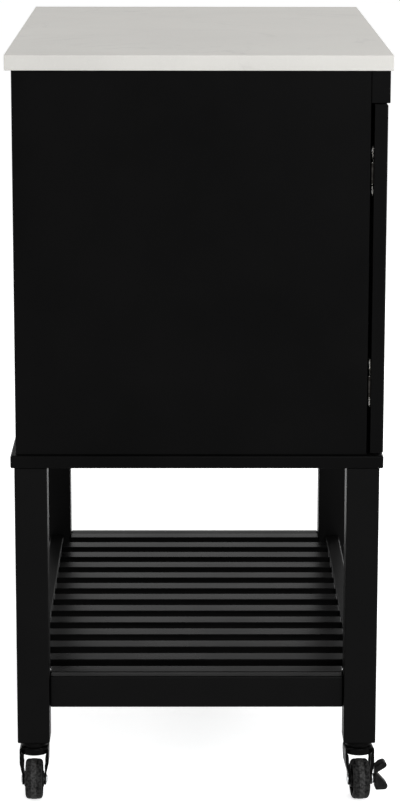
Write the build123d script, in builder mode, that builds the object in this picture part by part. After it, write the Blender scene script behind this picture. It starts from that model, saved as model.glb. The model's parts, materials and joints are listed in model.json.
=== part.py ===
from build123d import *
import os
from math import asin, atan2, cos, degrees, radians, sin

# Kitchen cart: a two-door cabinet with a stone-look top, on a slatted leg frame with casters.
# Millimetres. The floor is z = 0, the length runs along X, and the doors face -Y.

# Overall size
overall_height = 914.4
top_length = 730.0
top_depth = 453.5
top_thickness = 18.2
top_edge_bevel = 0.6

# How far the top laps past the carcass and the legs
end_overhang = 6.9
leg_back_inset = 5.6
leg_front_inset = 9.2
panel_back_inset = 7.7
panel_front_inset = 25.3

# Cabinet carcass
side_thickness = 15.0
back_thickness = 12.0
board_thickness = 15.8
board_top = 435.7
board_lip = 4.3
board_edge_round = 1.5
panel_arris = 1.0
header_height = 38.5
header_thickness = 22.4
header_bevel = 2.0
inner_shelf_thickness = 15.0
inner_shelf_height = 655.0
inner_shelf_setback = 32.0
inner_shelf_play = 1.0
shelf_pin_radius = 2.5
shelf_pin_length = 18.0
shelf_pin_depth = 8.0
shelf_pin_inset = 75.0

# Doors
door_thickness = 15.7
door_back_gap = 4.4
door_reveal = 1.0
door_middle_gap = 3.0
door_bottom_gap = 2.1
door_top_gap = 1.2
door_frame_width = 55.0
door_field_depth = 5.0
door_field_bevel = 2.5
door_edge_bevel = 1.6

# Knobs and the screws that hold them
knob_reach = 22.0
knob_drop = 95.0
# Knob outline from the door to its face: radius, distance out
knob_outline = ((9.0, 0.0), (9.0, 2.5), (6.0, 4.5), (6.0, 11.0), (8.6, 14.6), (14.0, 16.0), (14.0, 18.6),
                (9.0, 21.0), (0.0, knob_reach))
knob_screw_radius = 2.0
knob_screw_grip = 7.0
knob_screw_head_radius = 4.2
knob_screw_head_height = 2.4

# Door hinges: a cast boss let into the door, with a pinned knuckle in the gap behind the door's edge
hinge_spread = 256.0
pivot_inset = 1.2
barrel_radius = 1.7
pin_radius = 0.9
pin_clearance = 0.06
pin_stick_out = 0.8
knuckle_half = 7.5
knuckle_play = 0.4
ear_length = 4.5
boss_radius = 17.5
boss_depth = 11.0
boss_fit = 0.1
boss_inset = 25.9
boss_dish_radius = 13.5
boss_dish_depth = 6.5
boss_dish_slope = 12.0
flange_thickness = 1.2
flange_radius = 19.0
wing_span = 62.0
wing_width = 14.0
wing_screw_pitch = 48.0
wing_screw_radius = 1.7
wing_screw_length = 10.0
wing_screw_head_radius = 3.6
wing_screw_head_height = 1.3
arm_sheet = 1.6
arm_front_gap = 1.2
arm_rise = 7.0
arm_length = 56.0
plate_thickness = 3.0
plate_front = 22.0
plate_length = 32.0
plate_wing_reach = 24.0
plate_wing_length = 14.0
plate_wing_round = 4.6
plate_screw_pitch = 32.0
plate_screw_radius = 2.0
plate_screw_length = 11.0
plate_screw_head_radius = 4.0
plate_screw_head_height = 1.6
arm_screw_radius = 3.4
arm_screw_height = 1.4
arm_screw_places = (12.0, 38.0)

# Leg frame
leg_section = 39.4
leg_foot_height = 72.1
leg_arris = 1.5
leg_foot_arris = 0.75
rail_height = 39.6
rail_thickness = 19.3
rail_top = 154.8
rail_arris = 1.5
slat_width = 26.9
end_slat_rip = 3.3
slat_thickness = 12.0
slat_arris = 1.0
tenon_length = 6.0
tenon_thickness = 6.0
tenon_width = 20.0
slat_count = 13

# Casters
wheel_radius = 25.0
wheel_width = 20.8
tread_thickness = 4.5
tread_shoulder = 3.5
tread_roll = 0.29
hub_boss_radius = 10.0
hub_boss_width = 24.0
hub_web = 6.0
hub_rim = 2.5
hub_rim_width = 18.4
hub_rib = 2.4
hub_rib_count = 6
hub_rib_width = 15.0
axle_radius = 3.0
axle_play = 0.06
axle_head_radius = 5.0
axle_head_height = 1.8
axle_head_bevel = 0.9
caster_trail = 14.0
fork_sheet = 2.2
fork_width = 35.8
fork_axle_width = 29.2
fork_crown_bottom = 55.5
fork_crown_top = 64.4
fork_crown_radius = 17.5
fork_crown_round = 2.8
fork_bend = 0.9
fork_neck_back = 14.0
fork_neck_front = 12.0
fork_knee_height = 44.0
fork_heel_height = 32.5
fork_toe_radius = 7.5
race_radius = 16.5
race_play = 0.5
race_bevel = 1.5
stem_radius = 5.5
stem_length = 38.0
stem_fit = 0.1
kingpin_radius = 3.0
kingpin_play = 0.08
kingpin_head_radius = 6.0
kingpin_head_height = 1.8
front_left_swivel = 5.0
back_left_swivel = 0.0
front_right_swivel = 173.0
back_right_swivel = 174.0

# Brake pedal: a two-winged rocker on the outer end of each front caster's axle
brake_washer_radius = 7.0
brake_washer_thickness = 1.2
brake_pin_end = 21.6
pedal_hub_start = 16.2
pedal_hub_radius = 6.0
pedal_body_start = 18.3
pedal_bore_floor = 22.1
pedal_bore_play = 0.06
pedal_width = 26.0
pedal_end_round = 4.0
pedal_spine_round = 1.3
pedal_groove_width = 1.1
pedal_groove_depth = 0.8
pedal_groove_pitch = 2.7
pedal_groove_count = 4
pedal_groove_start = 4.6
# Each wing: its tip's distance out from the wheel's middle, height and radius, and its root's two
# ends. The lower one, with the grooves, comes last
pedal_wings = ((28.9, 42.2, 4.4, 38.6, 34.2), (28.9, 17.0, 5.3, 12.2, 34.2))
# Outline seen from the side: distance ahead of the axle, height
pedal_side_outline = ((-12.5, 7.0), (3.5, 7.0), (7.0, 25.0), (12.5, 47.0), (-3.5, 47.0), (-7.0, 25.0))

# Places that follow from the sizes above. The origin is on the floor, in the middle of the whole box.
doors_front = top_depth - panel_front_inset + door_back_gap + door_thickness
back_y = (doors_front + knob_reach) / 2
top_front_y = back_y - top_depth
top_bottom = overall_height - top_thickness

end_x = top_length / 2 - end_overhang
leg_x = end_x - leg_section / 2
leg_back_y = back_y - leg_back_inset - leg_section / 2
leg_front_y = top_front_y + leg_front_inset + leg_section / 2
board_bottom = board_top - board_thickness
board_back_y = leg_back_y + leg_section / 2 + board_lip
board_front_y = leg_front_y - leg_section / 2 - board_lip
carcass_back_y = back_y - panel_back_inset
carcass_front_y = top_front_y + panel_front_inset
carcass_depth = carcass_back_y - carcass_front_y
carcass_height = top_bottom - board_top
inner_x = end_x - side_thickness

door_back_y = carcass_front_y - door_back_gap
door_front_y = door_back_y - door_thickness
header_bottom = top_bottom - header_height
door_bottom = board_top + door_bottom_gap
door_top = header_bottom - door_top_gap
door_height = door_top - door_bottom
door_middle_z = (door_top + door_bottom) / 2
door_outer_x = end_x - door_reveal
door_width = door_outer_x - door_middle_gap / 2
knob_x = door_middle_gap / 2 + door_frame_width / 2
knob_z = door_top - knob_drop
pivot_x = door_outer_x - pivot_inset
pivot_y = (door_back_y + carcass_front_y) / 2
boss_x = door_outer_x - boss_inset
hinge_heights = (door_middle_z - hinge_spread / 2, door_middle_z + hinge_spread / 2)
hinge_half_length = knuckle_half + knuckle_play + ear_length

shelf_bottom = inner_shelf_height - inner_shelf_thickness
pin_z = shelf_bottom - shelf_pin_radius
pin_rows_y = (carcass_back_y - shelf_pin_inset, carcass_front_y + shelf_pin_inset)

rail_bottom = rail_top - rail_height
slat_middle_z = rail_top - slat_thickness / 2
legs_inner_x = leg_x - leg_section / 2
legs_inner_front_y = leg_front_y + leg_section / 2
legs_inner_back_y = leg_back_y - leg_section / 2
shelf_middle_y = (leg_front_y + leg_back_y) / 2
end_rail_face_x = leg_x - rail_thickness / 2
long_rail_face = (leg_back_y - leg_front_y - rail_thickness) / 2

os.makedirs("parts", exist_ok=True)


def save(part, name):
    """Name a finished piece and write it to its own file."""
    part.label = name
    export_step(part, "parts/" + name + ".step")


def save_group(parts, name):
    """Write several separate solids as one node."""
    solids = [solid for part in parts for solid in part.solids()]
    save(Compound(children=solids), name)


def screw(seat, head_radius, head_height, shank_radius, shank_length):
    """A flat-headed screw whose head stands on the seat plane and whose shank goes the other way."""
    with BuildPart() as piece:
        with BuildSketch(seat):
            Circle(head_radius)
        extrude(amount=head_height)
        with BuildSketch(seat):
            Circle(shank_radius)
        extrude(amount=-shank_length)
    return piece.part


def seat_on_back(x, z, y):
    """A plane on a face that looks towards the back of the cart."""
    return Plane(origin=(x, y, z), x_dir=(-1, 0, 0), z_dir=(0, 1, 0))


def seat_on_side(side, x, y, z):
    """A plane on a face that looks inwards from one end of the cart."""
    return Plane(origin=(side * x, y, z), x_dir=(0, 1, 0), z_dir=(-side, 0, 0))


# Worktop: one square-edged slab
with BuildPart() as worktop:
    with BuildSketch(Plane.XY.offset(top_bottom)):
        with Locations((0, (back_y + top_front_y) / 2)):
            Rectangle(top_length, top_depth)
    extrude(amount=top_thickness)
    chamfer(worktop.edges(), top_edge_bevel)
save(worktop.part, "worktop")

# Base board: the cabinet's floor, which laps a little past the legs on every side
with BuildPart() as base_board:
    with BuildSketch(Plane.XY.offset(board_bottom)):
        with Locations((0, (board_back_y + board_front_y) / 2)):
            Rectangle(2 * (end_x + board_lip), board_back_y - board_front_y)
    extrude(amount=board_thickness)
    fillet(base_board.edges(), board_edge_round)
save(base_board.part, "base_board")

# Side panels, with blind holes for the shelf pins and for the hinge plates' screws
plate_middle_y = carcass_front_y + plate_front + plate_length / 2
plate_screw_heights = [hinge_z + end * plate_screw_pitch / 2 for hinge_z in hinge_heights for end in (-1, 1)]
for side, name in ((-1, "side_panel_left"), (1, "side_panel_right")):
    with BuildPart() as side_panel:
        with BuildSketch(Plane.XY.offset(board_top)):
            with Locations((side * (end_x - side_thickness / 2), (carcass_back_y + carcass_front_y) / 2)):
                Rectangle(side_thickness, carcass_depth)
        extrude(amount=carcass_height)
        chamfer(side_panel.edges().filter_by(Axis.Z), panel_arris)
        for row_y in pin_rows_y:
            with BuildSketch(seat_on_side(side, inner_x, row_y, pin_z)):
                Circle(shelf_pin_radius)
            extrude(amount=-shelf_pin_depth, mode=Mode.SUBTRACT)
        for screw_z in plate_screw_heights:
            with BuildSketch(seat_on_side(side, inner_x, plate_middle_y, screw_z)):
                Circle(plate_screw_radius)
            extrude(amount=-plate_screw_length, mode=Mode.SUBTRACT)
    save(side_panel.part, name)

# Back panel, let in between the side panels
with BuildPart() as back_panel:
    with BuildSketch(Plane.XY.offset(board_top)):
        with Locations((0, carcass_back_y - back_thickness / 2)):
            Rectangle(2 * inner_x, back_thickness)
    extrude(amount=carcass_height)
    chamfer(back_panel.faces().sort_by(Axis.Y)[-1].edges().filter_by(Axis.Z), panel_arris)
save(back_panel.part, "back_panel")

# Header rail across the front, above the doors
with BuildPart() as header_rail:
    with BuildSketch(Plane.XY.offset(header_bottom)):
        with Locations((0, carcass_front_y - header_thickness / 2)):
            Rectangle(2 * end_x, header_thickness)
    extrude(amount=header_height)
    chamfer(header_rail.faces().sort_by(Axis.Y)[0].edges().sort_by(Axis.Z)[0], header_bevel)
    chamfer(header_rail.faces().sort_by(Axis.Y)[-1].edges().filter_by(Axis.Z), panel_arris)
save(header_rail.part, "header_rail")

# Inner shelf, and the four pins that carry it
shelf_back_y = carcass_back_y - back_thickness - inner_shelf_play
shelf_front_y = carcass_front_y + inner_shelf_setback
with BuildPart() as inner_shelf:
    with BuildSketch(Plane.XY.offset(shelf_bottom)):
        with Locations((0, (shelf_back_y + shelf_front_y) / 2)):
            Rectangle(2 * (inner_x - inner_shelf_play), shelf_back_y - shelf_front_y)
    extrude(amount=inner_shelf_thickness)
    fillet(inner_shelf.faces().sort_by(Axis.Y)[0].edges().filter_by(Axis.X), panel_arris)
save(inner_shelf.part, "inner_shelf")

with BuildPart() as shelf_pins:
    for side in (-1, 1):
        for row_y in pin_rows_y:
            with BuildSketch(seat_on_side(side, inner_x + shelf_pin_depth, row_y, pin_z)):
                Circle(shelf_pin_radius)
            extrude(amount=shelf_pin_length)
save(shelf_pins.part, "shelf_pins")

# Doors: one board each, with a sunk field, a bevelled face edge and the bores for its fittings
field_width = door_width - 2 * door_frame_width
field_height = door_height - 2 * door_frame_width
field_floor_y = door_front_y + door_field_depth
for side, name in ((-1, "door_left"), (1, "door_right")):
    middle_x = side * (door_outer_x + door_middle_gap / 2) / 2
    with BuildPart() as door:
        with BuildSketch(Plane.XZ.offset(-door_back_y)):
            with Locations((middle_x, door_middle_z)):
                Rectangle(door_width, door_height)
        extrude(amount=door_thickness)
        chamfer(door.faces().sort_by(Axis.Y)[0].edges(), door_edge_bevel)
        with BuildSketch(Plane.XZ.offset(-field_floor_y)):
            with Locations((middle_x, door_middle_z)):
                Rectangle(field_width - 2 * door_field_bevel, field_height - 2 * door_field_bevel)
        with BuildSketch(Plane.XZ.offset(-door_front_y)):
            with Locations((middle_x, door_middle_z)):
                Rectangle(field_width, field_height)
        loft(mode=Mode.SUBTRACT)
        for hinge_z in hinge_heights:
            with BuildSketch(Plane.XZ.offset(-door_back_y)):
                with Locations((side * boss_x, hinge_z)):
                    Circle(boss_radius + boss_fit)
            extrude(amount=boss_depth + boss_fit, mode=Mode.SUBTRACT)
            with BuildSketch(Plane.XZ.offset(-door_back_y)):
                with Locations((side * boss_x, hinge_z)):
                    with GridLocations(0, wing_screw_pitch, 1, 2):
                        Circle(wing_screw_radius)
            extrude(amount=wing_screw_length, mode=Mode.SUBTRACT)
        with BuildSketch(Plane.XZ.offset(-door_back_y)):
            with Locations((side * knob_x, knob_z)):
                Circle(knob_screw_radius)
        extrude(amount=door_thickness, mode=Mode.SUBTRACT)
    save(door.part, name)

# Knobs, turned, each with the screw that comes through the door from behind
for side, name in ((-1, "knob_left"), (1, "knob_right")):
    centre = (side * knob_x, door_front_y, knob_z)
    with BuildPart() as knob:
        with BuildSketch(Plane(origin=centre)):
            with BuildLine():
                Polyline((0, 0), *((radius, -out) for radius, out in knob_outline), close=True)
            make_face()
        revolve(axis=Axis(centre, (0, 1, 0)))
        with BuildSketch(Plane(origin=centre, x_dir=(1, 0, 0), z_dir=(0, -1, 0))):
            Circle(knob_screw_radius)
        extrude(amount=knob_screw_grip, mode=Mode.SUBTRACT)
    knob_screw = screw(seat_on_back(side * knob_x, knob_z, door_back_y), knob_screw_head_radius,
                       knob_screw_head_height, knob_screw_radius, door_thickness + knob_screw_grip)
    save_group([knob.part, knob_screw], name)

# Hinge bosses: flange with wings, dished boss and two ears with knuckles, then the pressed-in pins
flange_y = door_back_y + flange_thickness
for side, name in ((-1, "hinge_bosses_left"), (1, "hinge_bosses_right")):
    axis_x = side * pivot_x
    pieces = []
    screws = []
    for hinge_z in hinge_heights:
        with BuildPart() as boss:
            with BuildSketch(Plane.XZ.offset(-flange_y)):
                with Locations((side * boss_x, hinge_z)):
                    Circle(flange_radius)
                    SlotOverall(wing_span, wing_width, rotation=90)
                with Locations((side * (boss_x + pivot_x) / 2, hinge_z)):
                    with GridLocations(0, 2 * hinge_half_length - ear_length, 1, 2):
                        Rectangle(pivot_x - boss_x, ear_length)
            extrude(amount=flange_thickness)
            with BuildSketch(Plane.XZ.offset(-door_back_y)):
                with Locations((side * boss_x, hinge_z)):
                    Circle(boss_radius)
            extrude(amount=boss_depth)
            with BuildSketch(Plane.XZ.offset(-flange_y)):
                with Locations((side * boss_x, hinge_z)):
                    Circle(boss_dish_radius)
            extrude(amount=boss_dish_depth, taper=boss_dish_slope, mode=Mode.SUBTRACT)
            for end in (-1, 1):
                ear_start = (axis_x, pivot_y, hinge_z + end * (knuckle_half + knuckle_play))
                with BuildSketch(Plane(origin=ear_start, z_dir=(0, 0, end))):
                    Circle(barrel_radius)
                extrude(amount=ear_length)
            with BuildSketch(Plane(origin=(axis_x, pivot_y, hinge_z))):
                Circle(pin_radius)
            extrude(amount=hinge_half_length, both=True, mode=Mode.SUBTRACT)
            with BuildSketch(Plane.XZ.offset(-flange_y)):
                with Locations((side * boss_x, hinge_z)):
                    with GridLocations(0, wing_screw_pitch, 1, 2):
                        Circle(wing_screw_radius)
            extrude(amount=flange_thickness, mode=Mode.SUBTRACT)
        with BuildPart() as pin:
            with BuildSketch(Plane(origin=(axis_x, pivot_y, hinge_z))):
                Circle(pin_radius)
            extrude(amount=hinge_half_length + pin_stick_out, both=True)
        pieces += [boss.part, pin.part]
        for end in (-1, 1):
            seat = seat_on_back(side * boss_x, hinge_z + end * wing_screw_pitch / 2, flange_y)
            screws.append(screw(seat, wing_screw_head_radius, wing_screw_head_height,
                                wing_screw_radius, wing_screw_length))
    save_group(pieces, name)
    save_group(screws, name.replace("bosses", "screws"))

# Hinge arms: a knuckle, a strip that crosses the panel's front edge, and a channel back to the plate
gap_plane_y = carcass_front_y - arm_front_gap
plate_face_x = inner_x - plate_thickness
web_x = plate_face_x - arm_rise
arm_back_y = carcass_front_y + arm_length
arms = []
plate_screws = []
for side in (-1, 1):
    for hinge_z in hinge_heights:
        with BuildPart() as arm:
            with BuildSketch(Plane.XY.offset(hinge_z - knuckle_half)):
                with BuildLine():
                    Polyline((side * pivot_x, gap_plane_y), (side * pivot_x, gap_plane_y - arm_sheet),
                             (side * web_x, gap_plane_y - arm_sheet), (side * web_x, arm_back_y),
                             (side * plate_face_x, arm_back_y),
                             (side * plate_face_x, gap_plane_y), close=True)
                make_face()
            extrude(amount=2 * knuckle_half)
            with BuildSketch(seat_on_side(side, plate_face_x, (gap_plane_y + arm_back_y) / 2, hinge_z)):
                Rectangle(arm_back_y - gap_plane_y, 2 * (knuckle_half - arm_sheet))
            extrude(amount=arm_rise - arm_sheet, mode=Mode.SUBTRACT)
            with BuildSketch(Plane.XY.offset(hinge_z - knuckle_half)):
                with Locations((side * pivot_x, pivot_y)):
                    Circle(barrel_radius)
            extrude(amount=2 * knuckle_half)
            with BuildSketch(Plane.XY.offset(hinge_z - knuckle_half)):
                with Locations((side * pivot_x, pivot_y)):
                    Circle(pin_radius + pin_clearance)
            extrude(amount=2 * knuckle_half, mode=Mode.SUBTRACT)
            web_edges = arm.edges().filter_by(Axis.Z).group_by(Axis.X)[0 if side > 0 else -1]
            fillet(web_edges.sort_by(Axis.Y)[0], arm_sheet)
        arms.append(arm.part)
        for place in arm_screw_places:
            with BuildPart() as arm_screw:
                with BuildSketch(seat_on_side(side, web_x, carcass_front_y + place, hinge_z)):
                    Circle(arm_screw_radius)
                extrude(amount=arm_screw_height)
            plate_screws.append(arm_screw.part)
save_group(arms, "hinge_arms")

# Hinge plates on the side panels, with their screws
plates = []
for side in (-1, 1):
    for hinge_z in hinge_heights:
        with BuildPart() as plate:
            with BuildSketch(seat_on_side(side, inner_x, plate_middle_y, hinge_z)):
                Rectangle(plate_length, 2 * knuckle_half)
                RectangleRounded(plate_wing_length, 2 * plate_wing_reach, plate_wing_round)
            extrude(amount=plate_thickness)
            with BuildSketch(seat_on_side(side, inner_x, plate_middle_y, hinge_z)):
                with GridLocations(0, plate_screw_pitch, 1, 2):
                    Circle(plate_screw_radius)
            extrude(amount=plate_thickness, mode=Mode.SUBTRACT)
        plates.append(plate.part)
        for end in (-1, 1):
            seat = seat_on_side(side, plate_face_x, plate_middle_y, hinge_z + end * plate_screw_pitch / 2)
            plate_screws.append(screw(seat, plate_screw_head_radius, plate_screw_head_height,
                                      plate_screw_radius, plate_screw_length))
save_group(plates, "hinge_plates")
save_group(plate_screws, "plate_screws")

# Legs, bored at the foot for the casters' stems
corners = {"front_left": (-leg_x, leg_front_y), "back_left": (-leg_x, leg_back_y),
           "front_right": (leg_x, leg_front_y), "back_right": (leg_x, leg_back_y)}
for corner, (x, y) in corners.items():
    with BuildPart() as leg:
        with BuildSketch(Plane.XY.offset(leg_foot_height)):
            with Locations((x, y)):
                Rectangle(leg_section, leg_section)
        extrude(amount=board_bottom - leg_foot_height)
        chamfer(leg.edges().filter_by(Axis.Z), leg_arris)
        chamfer(leg.faces().sort_by(Axis.Z)[0].edges(), leg_foot_arris)
        with BuildSketch(Plane.XY.offset(leg_foot_height)):
            with Locations((x, y)):
                Circle(stem_radius + stem_fit)
        extrude(amount=stem_length + stem_fit, mode=Mode.SUBTRACT)
    save(leg.part, "leg_" + corner)

# Long rails, mortised for the slats, and end rails
slat_steps = slat_count - 1
slat_pitch = 2 * (end_rail_face_x + end_slat_rip - slat_width / 2) / slat_steps
slat_places = [(number - slat_steps / 2) * slat_pitch for number in range(slat_count)]
inner_slat_places = slat_places[1:-1]
for face, name in ((-1, "front_rail"), (1, "back_rail")):
    rail_y = shelf_middle_y + face * (leg_back_y - leg_front_y) / 2
    mouth_y = shelf_middle_y + face * long_rail_face
    with BuildPart() as long_rail:
        with BuildSketch(Plane.XY.offset(rail_bottom)):
            with Locations((0, rail_y)):
                Rectangle(2 * legs_inner_x, rail_thickness)
        extrude(amount=rail_height)
        chamfer(long_rail.edges().filter_by(Axis.X), rail_arris)
        with BuildSketch(Plane.XY.offset(slat_middle_z)):
            for place in inner_slat_places:
                with Locations((place, mouth_y + face * tenon_length / 2)):
                    Rectangle(tenon_width, tenon_length)
        extrude(amount=tenon_thickness / 2, both=True, mode=Mode.SUBTRACT)
    save(long_rail.part, name)

for end, name in ((-1, "left_end_rail"), (1, "right_end_rail")):
    with BuildPart() as end_rail:
        with BuildSketch(Plane.XY.offset(rail_bottom)):
            with Locations((end * leg_x, shelf_middle_y)):
                Rectangle(rail_thickness, legs_inner_back_y - legs_inner_front_y)
        extrude(amount=rail_height)
        chamfer(end_rail.edges().filter_by(Axis.Y), rail_arris)
    save(end_rail.part, name)

# Slats: the inner ones are tenoned into the long rails. The end ones are ripped down to lie against
# the end rails
for number, place in enumerate(slat_places, start=1):
    inner = 1 < number < slat_count
    low_x = place - slat_width / 2 + (end_slat_rip if number == 1 else 0)
    high_x = place + slat_width / 2 - (end_slat_rip if number == slat_count else 0)
    slat_length = 2 * long_rail_face if inner else legs_inner_back_y - legs_inner_front_y
    with BuildPart() as slat:
        with BuildSketch(Plane.XY.offset(rail_top - slat_thickness)):
            with Locations(((low_x + high_x) / 2, shelf_middle_y)):
                Rectangle(high_x - low_x, slat_length)
        extrude(amount=slat_thickness)
        chamfer(slat.edges().filter_by(Axis.Y), slat_arris)
        if inner:
            with BuildSketch(Plane.XY.offset(slat_middle_z)):
                with Locations((place, shelf_middle_y)):
                    Rectangle(tenon_width, slat_length + 2 * tenon_length)
            extrude(amount=tenon_thickness / 2, both=True)
    save(slat.part, "slat_%02d" % number)

# Caster stems: grip stem, bearing housing and the kingpin that holds the fork
stems = []
race_bottom = fork_crown_top + race_play
kingpin_end = fork_crown_top - fork_sheet - race_play
for x, y in corners.values():
    with BuildPart() as stem:
        with BuildSketch(Plane.XY.offset(race_bottom)):
            with Locations((x, y)):
                Circle(race_radius)
        extrude(amount=leg_foot_height - race_bottom)
        chamfer(stem.faces().sort_by(Axis.Z)[0].edges(), race_bevel)
        with BuildSketch(Plane.XY.offset(leg_foot_height)):
            with Locations((x, y)):
                Circle(stem_radius)
        extrude(amount=stem_length)
        with BuildSketch(Plane.XY.offset(kingpin_end)):
            with Locations((x, y)):
                Circle(kingpin_radius)
        extrude(amount=race_bottom - kingpin_end)
        with BuildSketch(Plane.XY.offset(kingpin_end)):
            with Locations((x, y)):
                Circle(kingpin_head_radius)
        extrude(amount=-kingpin_head_height)
    stems.append(stem.part)
save_group(stems, "caster_stems")


# Casters: pressed fork, axle, hub, tread, and on the two front ones the brake pedal
fork_arm = fork_width / 2
fork_toe = fork_axle_width / 2
fork_toe_bottom = wheel_radius - fork_toe_radius
fork_side = ((fork_arm, fork_crown_top), (fork_arm, fork_knee_height), (fork_toe, fork_heel_height),
             (fork_toe, fork_toe_bottom), (fork_toe - fork_sheet, fork_toe_bottom),
             (fork_toe - fork_sheet, fork_heel_height), (fork_arm - fork_sheet, fork_knee_height),
             (fork_arm - fork_sheet, fork_crown_top - fork_sheet))
fork_outline = fork_side + tuple((-out, height) for out, height in reversed(fork_side))
tread_side = wheel_width / 2
tread_seat = wheel_radius - tread_thickness
hub_rim_radius = tread_seat - hub_rim
tread_half = ((tread_side - tread_shoulder, wheel_radius),
              (tread_side - tread_shoulder * tread_roll, wheel_radius - tread_shoulder * tread_roll),
              (tread_side, wheel_radius - tread_shoulder), (tread_side, tread_seat))
tread_outline = tread_half + tuple((-along, radius) for along, radius in reversed(tread_half))
swivels = {"front_left": front_left_swivel, "back_left": back_left_swivel,
           "front_right": front_right_swivel, "back_right": back_right_swivel}
for corner, (x, y) in corners.items():
    turn = radians(swivels[corner])
    ahead = Vector(cos(turn), sin(turn), 0)
    across = Vector(-sin(turn), cos(turn), 0)
    braked = corner.startswith("front")
    foot = Vector(x, y, 0)
    wheel_foot = foot - ahead * caster_trail
    axle_centre = wheel_foot + Vector(0, 0, wheel_radius)
    foot_side_view = Plane(origin=foot, x_dir=ahead, z_dir=-across)
    foot_front_view = Plane(origin=foot, x_dir=across, z_dir=ahead)
    axle_side_view = Plane(origin=axle_centre, x_dir=ahead, z_dir=-across)
    axle_front_view = Plane(origin=axle_centre, x_dir=across, z_dir=ahead)
    axle_axis = Axis(axle_centre, across)

    with BuildPart() as fork:
        with BuildSketch(foot_side_view):
            with Locations((-caster_trail, wheel_radius)):
                Circle(fork_toe_radius)
            with Locations(((fork_neck_front - fork_neck_back) / 2,
                            (fork_crown_top + fork_crown_bottom) / 2)):
                Rectangle(fork_neck_front + fork_neck_back, fork_crown_top - fork_crown_bottom)
            make_hull()
        extrude(amount=fork_width, both=True)
        with BuildSketch(foot_front_view) as fork_profile:
            with BuildLine():
                Polyline(*fork_outline, close=True)
            make_face()
            fillet(fork_profile.vertices().group_by(Axis.Y)[-1], fork_crown_round)
        extrude(amount=fork_width, both=True, mode=Mode.INTERSECT)
        with BuildSketch(foot_front_view):
            with BuildLine():
                Polyline((0, fork_crown_top), (fork_crown_radius - fork_crown_round, fork_crown_top),
                         (fork_crown_radius, fork_crown_top - fork_crown_round),
                         (fork_crown_radius, fork_crown_bottom),
                         (fork_crown_radius - fork_sheet, fork_crown_bottom),
                         (fork_crown_radius - fork_sheet, fork_crown_top - fork_crown_round - fork_bend),
                         (fork_crown_radius - fork_crown_round - fork_bend, fork_crown_top - fork_sheet),
                         (0, fork_crown_top - fork_sheet), close=True)
            make_face()
        revolve(axis=Axis(foot, (0, 0, 1)))
        with BuildSketch(Plane(origin=foot + Vector(0, 0, fork_crown_top))):
            Circle(kingpin_radius + kingpin_play)
        extrude(amount=-fork_sheet, mode=Mode.SUBTRACT)
        with BuildSketch(axle_side_view):
            Circle(axle_radius)
        extrude(amount=fork_toe, both=True, mode=Mode.SUBTRACT)
    save(fork.part, "fork_" + corner)

    with BuildPart() as axle:
        with BuildSketch(axle_side_view):
            Circle(axle_radius)
        extrude(amount=brake_pin_end if braked else fork_toe)
        with BuildSketch(axle_side_view):
            Circle(axle_radius)
        extrude(amount=-fork_toe)
        with BuildSketch(axle_side_view.offset(fork_toe)):
            Circle(brake_washer_radius if braked else axle_head_radius)
        extrude(amount=brake_washer_thickness if braked else axle_head_height)
        if not braked:
            chamfer(axle.faces().sort_by(axle_axis)[0].edges(), axle_head_bevel)
        with BuildSketch(axle_side_view.offset(-fork_toe)):
            Circle(axle_head_radius)
        extrude(amount=-axle_head_height)
        chamfer(axle.faces().sort_by(axle_axis)[-1].edges(), axle_head_bevel)
    save(axle.part, "axle_" + corner)

    with BuildPart() as hub:
        with BuildSketch(axle_side_view):
            Circle(hub_boss_radius)
        extrude(amount=hub_boss_width / 2, both=True)
        with BuildSketch(axle_side_view):
            Circle(tread_seat)
        extrude(amount=hub_web / 2, both=True)
        with BuildSketch(axle_side_view):
            Circle(tread_seat)
            Circle(hub_rim_radius, mode=Mode.SUBTRACT)
        extrude(amount=hub_rim_width / 2, both=True)
        with BuildSketch(axle_side_view):
            with PolarLocations((hub_boss_radius + hub_rim_radius) / 2, hub_rib_count):
                Rectangle(hub_rim_radius - hub_boss_radius + hub_rim, hub_rib)
        extrude(amount=hub_rib_width / 2, both=True)
        with BuildSketch(axle_side_view):
            Circle(axle_radius + axle_play)
        extrude(amount=hub_boss_width / 2, both=True, mode=Mode.SUBTRACT)
    save(hub.part, "hub_" + corner)

    with BuildPart() as tread:
        with BuildSketch(axle_front_view):
            with BuildLine():
                Polyline(*tread_outline, close=True)
            make_face()
        revolve(axis=axle_axis)
    save(tread.part, "tread_" + corner)

    if braked:
        pedal_front_view = Plane(origin=wheel_foot, x_dir=-across, z_dir=-ahead)
        pedal_side_view = Plane(origin=wheel_foot, x_dir=ahead, z_dir=-across)
        spine_out = pedal_body_start + pedal_spine_round
        with BuildPart() as pedal:
            for tip_out, tip_height, tip_radius, root_end, root_start in pedal_wings:
                with BuildSketch(pedal_front_view):
                    with Locations((tip_out, tip_height)):
                        Circle(tip_radius)
                    with Locations((spine_out, root_start), (spine_out, root_end)):
                        Circle(pedal_spine_round)
                    make_hull()
                extrude(amount=pedal_width / 2, both=True)
            with BuildSketch(pedal_side_view) as side_shape:
                with BuildLine():
                    Polyline(*pedal_side_outline, close=True)
                make_face()
                fillet(side_shape.vertices(), pedal_end_round)
            extrude(amount=fork_width, mode=Mode.INTERSECT)
            with BuildSketch(axle_side_view.offset(pedal_hub_start)):
                Circle(pedal_hub_radius)
            extrude(amount=pedal_bore_floor - pedal_hub_start)
            with BuildSketch(axle_side_view.offset(pedal_hub_start)):
                Circle(axle_radius + pedal_bore_play)
            extrude(amount=pedal_bore_floor - pedal_hub_start, mode=Mode.SUBTRACT)
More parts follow.
